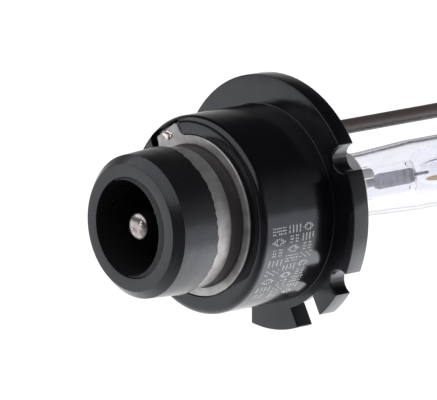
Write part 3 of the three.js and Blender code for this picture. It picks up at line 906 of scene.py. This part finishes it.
def make_foil(name, direction, node):
    """Thin feather-edged foil, rippled along its length, with a lens-shaped section."""
    bm = bmesh.new()
    lengths = 28
    across = 12
    upper, lower = [], []
    for i in range(lengths + 1):
        along = FOIL_START + FOIL_LENGTH * i / lengths
        x = ARC_CENTRE_X + direction * along
        taper = min(1.0, 0.8 + 2.0 * min(i, lengths - i) / lengths)
        row_up, row_down = [], []
        for j in range(across + 1):
            share = 2.0 * j / across - 1.0
            z = share * FOIL_WIDTH / 2 * taper
            ripple = 0.035 * math.sin(i * 1.35 + 0.6 * math.sin(j * 0.9)) * (1 - share ** 2)
            thick = 0.012 + 0.03 * (1 - share ** 2)
            row_up.append(bm.verts.new((x, ripple - thick, z)))
            row_down.append(bm.verts.new((x, ripple + thick, z)))
        upper.append(row_up)
        lower.append(row_down)
    close_sheet(bm, upper, lower)
    new_piece(name, finish_mesh(bm, name), MOLYBDENUM, [node], 60)


def make_rod(name, corners, material, node):
    bm = bmesh.new()
    add_turned(bm, rounded(corners, 5), 32, closed=False)
    new_piece(name, finish_mesh(bm, name), material, [node])


def make_electrodes():
    for direction, name in ((-1, "rear"), (1, "front")):
        tip = ARC_CENTRE_X + direction * ARC_GAP / 2
        neck = ARC_CENTRE_X + direction * 3.0
        end = ARC_CENTRE_X + direction * (FOIL_START - FIT_GAP)
        head = 0.2
        stem = 0.16
        make_rod(f"{name}_electrode_rod", [
            (tip, 0.0),
            (tip, head, 0.12),
            (neck, head, 0.04),
            (neck + direction * 0.04, stem, 0.04),
            (end, stem),
            (end, 0.0),
        ], TUNGSTEN, f"{name}_electrode")


def make_leads():
    foil_end = FOIL_START + FOIL_LENGTH + FIT_GAP
    for name, node, start, end in (
        ("rear_lead", "rear_lead_wire", PIN_TIP_X + 0.3, ARC_CENTRE_X - foil_end),
        ("front_lead", "front_lead_wire", ARC_CENTRE_X + foil_end, FRONT_LEAD_END_X),
    ):
        make_rod(name, [
            (start, 0.0), (start, LEAD_RADIUS, 0.1), (end, LEAD_RADIUS, 0.1), (end, 0.0),
        ], MOLYBDENUM, node)


def make_salt():
    """Crusted pool in the bottom of the chamber."""
    bm = bmesh.new()
    lengths, across = 24, 10
    half_length = 2.5
    wall_radius = 1.38
    wall_half_length = 3.8
    surface_drop = 1.02
    top, bottom = [], []
    for i in range(lengths + 1):
        share = 2.0 * i / lengths - 1.0
        x = ARC_CENTRE_X + share * half_length
        radius = wall_radius * math.sqrt(max(1 - (share * half_length / wall_half_length) ** 2, 0.0))
        depth = max(radius - surface_drop, 0.0)
        half_width = math.sqrt(max(radius ** 2 - (radius - depth) ** 2, 0.0)) * 0.96
        row_top, row_bottom = [], []
        for j in range(across + 1):
            side = 2.0 * j / across - 1.0
            y = side * half_width
            floor = -math.sqrt(max(radius ** 2 - y ** 2, 0.0))
            crust = -(radius - depth) + 0.05 * math.sin(7 * share + 3 * side) * (1 - side ** 2)
            row_top.append(bm.verts.new((x, y, max(crust, floor + 0.004))))
            row_bottom.append(bm.verts.new((x, y, floor)))
        top.append(row_top)
        bottom.append(row_bottom)
    close_sheet(bm, top, bottom)
    new_piece("salt_pool", finish_mesh(bm, "salt_pool"), SALT, ["halide_salt"], 60)


# ---- Return conductor --------------------------------

def return_wire_path():
    """From the tab, down into the ceramic tube, along it, and round the bend to the front joint."""
    joint = RETURN_JOINT_X
    bend = 1.3
    path = [
        (-13.8, RETURN_TAB_RADIUS), (-13.6, RETURN_TAB_RADIUS), (-10.2, RETURN_TAB_RADIUS),
        (-9.5, RETURN_TAB_RADIUS - 0.15), (-7.2, RETURN_RADIUS + 0.35),
        (-6.5, RETURN_RADIUS + 0.05), (-5.6, RETURN_RADIUS), (joint - bend, RETURN_RADIUS),
    ]
    for step in range(1, 9):
        angle = math.pi / 2 * step / 8
        path.append((joint - bend + bend * math.sin(angle),
                     RETURN_RADIUS - bend * (1 - math.cos(angle))))
    path += [(joint, 0.2), (joint, -0.5)]
    return [clock_point(x, radius, RETURN_CLOCK) for x, radius in path]


def make_return_side():
    bm = bmesh.new()
    add_tube(bm, return_wire_path(), RETURN_WIRE_RADIUS, 20)
    new_piece("return_conductor", finish_mesh(bm, "return_conductor"), WIRE_METAL,
              ["return_wire"])
    tube = bmesh.new()
    bore = RETURN_WIRE_RADIUS + FIT_GAP
    add_turned(tube, rounded([
        (CERAMIC_REAR_X, bore, 0.05),
        (CERAMIC_REAR_X, CERAMIC_RADIUS, 0.1),
        (CERAMIC_FRONT_X, CERAMIC_RADIUS, 0.1),
        (CERAMIC_FRONT_X, bore, 0.05),
    ], 4), 64, shift=(0.0, RETURN_RADIUS))
    new_piece("ceramic_sleeve", finish_mesh(tube, "ceramic_sleeve", RETURN_CLOCK), CERAMIC,
              ["ceramic_tube"])
    drop = bmesh.new()
    add_turned(drop, [(JOINT_WELD_X - 0.45 * math.cos(a),
                       0.6 * math.sin(a) * (1 + 0.08 * math.sin(5 * a)))
                      for a in (math.pi * step / 16 for step in range(17))], 32, closed=False)
    new_piece("joint_weld", finish_mesh(drop, "joint_weld"), WELD_METAL,
              ["lead_joint_weld"])


# ---- Burner mounting ---------------------------------

def make_clamp():
    """Band with both rims turned in to grip the outer glass."""
    bm = bmesh.new()
    grip = BULB_REAR_RADIUS + 0.1
    wall = CLAMP_THICKNESS
    add_turned(bm, rounded([
        (CLAMP_REAR_X, grip, 0.05),
        (CLAMP_REAR_X, CLAMP_RADIUS, 0.3),
        (CLAMP_FRONT_X, CLAMP_RADIUS, 0.3),
        (CLAMP_FRONT_X, grip, 0.05),
        (CLAMP_FRONT_X - wall, grip, 0.05),
        (CLAMP_FRONT_X - wall, CLAMP_RADIUS - wall, 0.1),
        (CLAMP_REAR_X + wall, CLAMP_RADIUS - wall, 0.1),
        (CLAMP_REAR_X + wall, grip, 0.05),
    ], 5), 128)
    new_piece("clamp_band", finish_mesh(bm, "clamp_band"), CLAMP_METAL, ["burner_clamp"])


def tongue_profile():
    """Side view of a tongue as (along the axis, outward) points."""
    inner = CLAMP_RADIUS + FIT_GAP
    thick = TONGUE_THICKNESS
    landing = CLAMP_REAR_X + 0.9
    rounding = [TONGUE_TIP_X - TONGUE_TIP_ROUND * (1 - math.sin(math.radians(angle)))
                for angle in (0, 20, 40, 60, 75)]
    return rounded([
        (TONGUE_ROOT_X, TONGUE_ROOT_RADIUS),
        (TONGUE_BEND_X, TONGUE_ROOT_RADIUS, 1.2),
        (landing, inner, 1.2),
        *[(x, inner) for x in rounding],
        (TONGUE_TIP_X, inner, 0.01),
        (TONGUE_TIP_X, inner + thick, 0.05),
        *[(x, inner + thick) for x in reversed(rounding)],
        (landing, inner + thick, 1.5),
        (TONGUE_BEND_X, TONGUE_ROOT_RADIUS + thick, 1.5),
        (TONGUE_ROOT_X, TONGUE_ROOT_RADIUS + thick),
    ], 5)


def make_tongues():
    """Four spring tongues from the cap well to the clamp band, each narrowed to a round tip."""
    profile = tongue_profile()
    for index, clock in enumerate(TONGUE_CLOCKS):
        strip = bmesh.new()
        add_plate(strip, profile, -TONGUE_WIDTH / 2, TONGUE_WIDTH / 2, 0.07)
        for vert in strip.verts:
            past = max(vert.co.y - (TONGUE_TIP_X - TONGUE_TIP_ROUND), 0.0) / TONGUE_TIP_ROUND
            narrow = 1.0 - 0.85 * (1.0 - math.sqrt(max(1.0 - past ** 2, 0.0)))
            vert.co.x, vert.co.y = vert.co.y, vert.co.x * narrow
        name = f"spring_tongue_{index + 1}"
        new_piece(name, finish_mesh(strip, name, clock), CLAMP_METAL,
                  [f"retaining_tongue_{index + 1}"])


# ---- Laser marks -------------------------------------

# Each pattern says whether there is a dot in a column and a line.
PATTERNS = {
    "diamond": lambda column, line: abs(column - 2) + abs(line - 3) in (2, 3),
    "stripes": lambda column, line: (column + line) % 3 == 0,
    "bars": lambda column, line: line % 2 == 0,
    "posts": lambda column, line: column % 2 == 0,
    "pairs": lambda column, line: column % 2 == 0 and line in (1, 2, 4, 5),
}
MARK_ROWS = (                   # middle x, line pitch, advance, patterns
    (-6.7, 0.27, 1.24, "diamond bars pairs stripes diamond pairs posts bars diamond"),
    (-8.95, 0.29, 1.28, "bars pairs diamond posts bars diamond pairs stripes pairs"),
    (-11.5, 0.33, 1.42, "posts diamond pairs bars stripes diamond bars pairs"),
)


def make_marks():
    """Three rows of plain dot patterns round the body, with no letters or digits."""
    bm = bmesh.new()
    for middle_x, line_pitch, advance, names in MARK_ROWS:
        for place, name in enumerate(names.split()):
            for column in range(MARK_COLUMNS):
                for line in range(MARK_LINES):
                    if not PATTERNS[name](column, line) or random.random() < MARK_MISSING_DOTS:
                        continue
                    along = place * advance + column * MARK_COLUMN_PITCH
                    clock = MARK_START_CLOCK - math.degrees(along / BODY_RADIUS)
                    size = MARK_DOT_RADIUS * random.uniform(0.8, 1.15)
                    add_dot(bm, middle_x - (line - 3) * line_pitch, clock, size)
    new_piece("laser_marks", finish_mesh(bm, "laser_marks"), LASER_MARK)


def add_dot(bm, x, clock, size):
    """Low six-sided dot on the body surface."""
    up = clock_point(0.0, 1.0, clock)
    across = up.cross(Vector((1.0, 0.0, 0.0)))
    loops = []
    for height, share in ((-0.03, 1.0), (0.006, 1.0), (0.012, 0.7)):
        centre = clock_point(x, BODY_RADIUS + height, clock)
        loops.append([bm.verts.new(centre + Vector((math.cos(a), 0, 0)) * size * share
                                   + across * math.sin(a) * size * share)
                      for a in (math.pi / 3 * s for s in range(6))])
    join_loops(bm, loops)
    bm.faces.new(loops[0])
    bm.faces.new(loops[-1])


make_cap_body()
make_flange()
make_nose()
make_socket_rib()
make_contact_ring()
make_groove_band()
make_tab_weld()
make_pin()
make_outer_glass()
make_arc_glass()
make_foil("rear_foil_strip", -1, "rear_foil")
make_foil("front_foil_strip", 1, "front_foil")
make_electrodes()
make_leads()
make_salt()
make_return_side()
make_clamp()
make_tongues()
make_marks()


# ---- Studio ------------------------------------------

class Graph:
    """Short calls for the floor and world node graphs."""

    def __init__(self, tree):
        self.tree = tree

    def node(self, kind, **settings):
        node = self.tree.nodes.new(kind)
        for key, value in settings.items():
            setattr(node, key, value)
        return node

    def link(self, source, target):
        self.tree.links.new(source, target)

    def maths(self, operation, *values):
        node = self.node("ShaderNodeMath", operation=operation)
        for index, value in enumerate(values):
            if isinstance(value, (int, float)):
                node.inputs[index].default_value = value
            else:
                self.link(value, node.inputs[index])
        return node.outputs["Value"]

    def dot(self, vector, direction):
        node = self.node("ShaderNodeVectorMath", operation="DOT_PRODUCT")
        node.inputs[1].default_value = direction
        self.link(vector, node.inputs[0])
        return node.outputs["Value"]

    def smooth(self, value, low, high, first, second):
        """Smooth step from first to second while value goes from low to high."""
        node = self.node("ShaderNodeMapRange", interpolation_type="SMOOTHSTEP")
        for key, number in (("From Min", low), ("From Max", high),
                            ("To Min", first), ("To Max", second)):
            node.inputs[key].default_value = number
        self.link(value, node.inputs["Value"])
        return node.outputs["Result"]

    def white_to_camera(self, value, white):
        """White for what is seen straight on or through glass, and value in reflections."""
        rays = self.node("ShaderNodeLightPath")
        direct = self.maths("MAXIMUM", rays.outputs["Is Camera Ray"],
                            rays.outputs["Is Transmission Ray"])
        node = self.node("ShaderNodeMix", data_type="FLOAT")
        self.link(direct, node.inputs["Factor"])
        self.link(value, node.inputs["A"])
        node.inputs["B"].default_value = white
        return node.outputs["Result"]


def make_floor():
    """Light table: brightest beside the bulb, dim on the photo camera's side."""
    bm = bmesh.new()
    bmesh.ops.create_grid(bm, x_segments=8, y_segments=8, size=FLOOR_HALF_SIZE)
    mesh = bpy.data.meshes.new("floor")
    bm.to_mesh(mesh)
    bm.free()
    floor = bpy.data.objects.new("floor", mesh)
    floor.location = (0.0, 0.0, FLOOR_HEIGHT)
    bpy.context.scene.collection.objects.link(floor)
    material = bpy.data.materials.new("floor_paper")
    material.use_nodes = True
    shader = material.node_tree.nodes["Principled BSDF"]
    shader.inputs["Base Color"].default_value = (0.3, 0.3, 0.3, 1.0)
    shader.inputs["Roughness"].default_value = 0.9
    shader.inputs["Specular IOR Level"].default_value = 0.0
    shader.inputs["Emission Color"].default_value = (1.0, 1.0, 1.0, 1.0)
    graph = Graph(material.node_tree)
    place = graph.node("ShaderNodeTexCoord").outputs["Object"]
    away = graph.dot(place, AWAY_FROM_CAMERA)
    side = graph.dot(place, CAMERA_RIGHT)
    spread = graph.maths("MULTIPLY_ADD", graph.maths("ABSOLUTE", side), 0.6, away)
    table = graph.smooth(spread, -0.13, 0.06, 0.03, 1.3)
    table = graph.maths("MULTIPLY", table, graph.smooth(side, -0.1, 0.25, 0.95, 1.35))
    off_side = graph.maths("POWER", graph.maths("SUBTRACT", side, POOL_SIDE), 2.0)
    off_away = graph.maths("POWER", away, 2.0)
    distance = graph.maths("SQRT", graph.maths("ADD", off_side, off_away))
    pool = graph.smooth(distance, 0.0, POOL_RADIUS, POOL_STRENGTH, 0.0)
    glow = graph.maths("ADD", table, pool)
    graph.link(graph.white_to_camera(glow, 1.0), shader.inputs["Emission Strength"])
    mesh.materials.append(material)


def make_softbox():
    """Long soft light high behind the cap, tilted down towards it."""
    data = bpy.data.lights.new("softbox", "AREA")
    data.shape = "RECTANGLE"
    data.size, data.size_y = SOFTBOX_SIZE
    data.energy = SOFTBOX_RADIANCE * math.pi * data.size * data.size_y
    light = bpy.data.objects.new("softbox", data)
    back = Vector(SOFTBOX_BACK).normalized()
    along = Vector((0.0, 1.0, 0.0))
    along = (along - back * along.dot(back)).normalized()
    light.matrix_world = Matrix((
        (*along, 0.0), (*back.cross(along), 0.0), (*back, 0.0), (0.0, 0.0, 0.0, 1.0),
    )).transposed()
    light.location = SOFTBOX_PLACE
    bpy.context.scene.collection.objects.link(light)


def make_world():
    """Dark studio with a pale glow over the horizon, white where the camera sees it."""
    world = bpy.data.worlds.new("studio")
    world.use_nodes = True
    graph = Graph(world.node_tree)
    direction = graph.node("ShaderNodeTexCoord").outputs["Generated"]
    height = graph.dot(direction, (0.0, 0.0, 1.0))
    away = graph.dot(direction, AWAY_FROM_CAMERA)
    glow = graph.smooth(height, 0.02, 0.7, 0.55, 0.035)
    glow = graph.maths("MULTIPLY", glow, graph.smooth(away, -0.95, -0.4, 0.15, 1.0))
    side = graph.dot(direction, CAMERA_RIGHT)
    glow = graph.maths("MULTIPLY", glow, graph.smooth(side, -1.0, -0.5, 0.3, 1.0))
    graph.link(graph.white_to_camera(glow, 1.0), world.node_tree.nodes["Background"].inputs["Strength"])
    world.node_tree.nodes["Background"].inputs["Color"].default_value = (1.0, 1.0, 1.0, 1.0)
    bpy.context.scene.world = world


make_floor()
make_world()
make_softbox()
bpy.context.scene.view_settings.view_transform = "Standard"
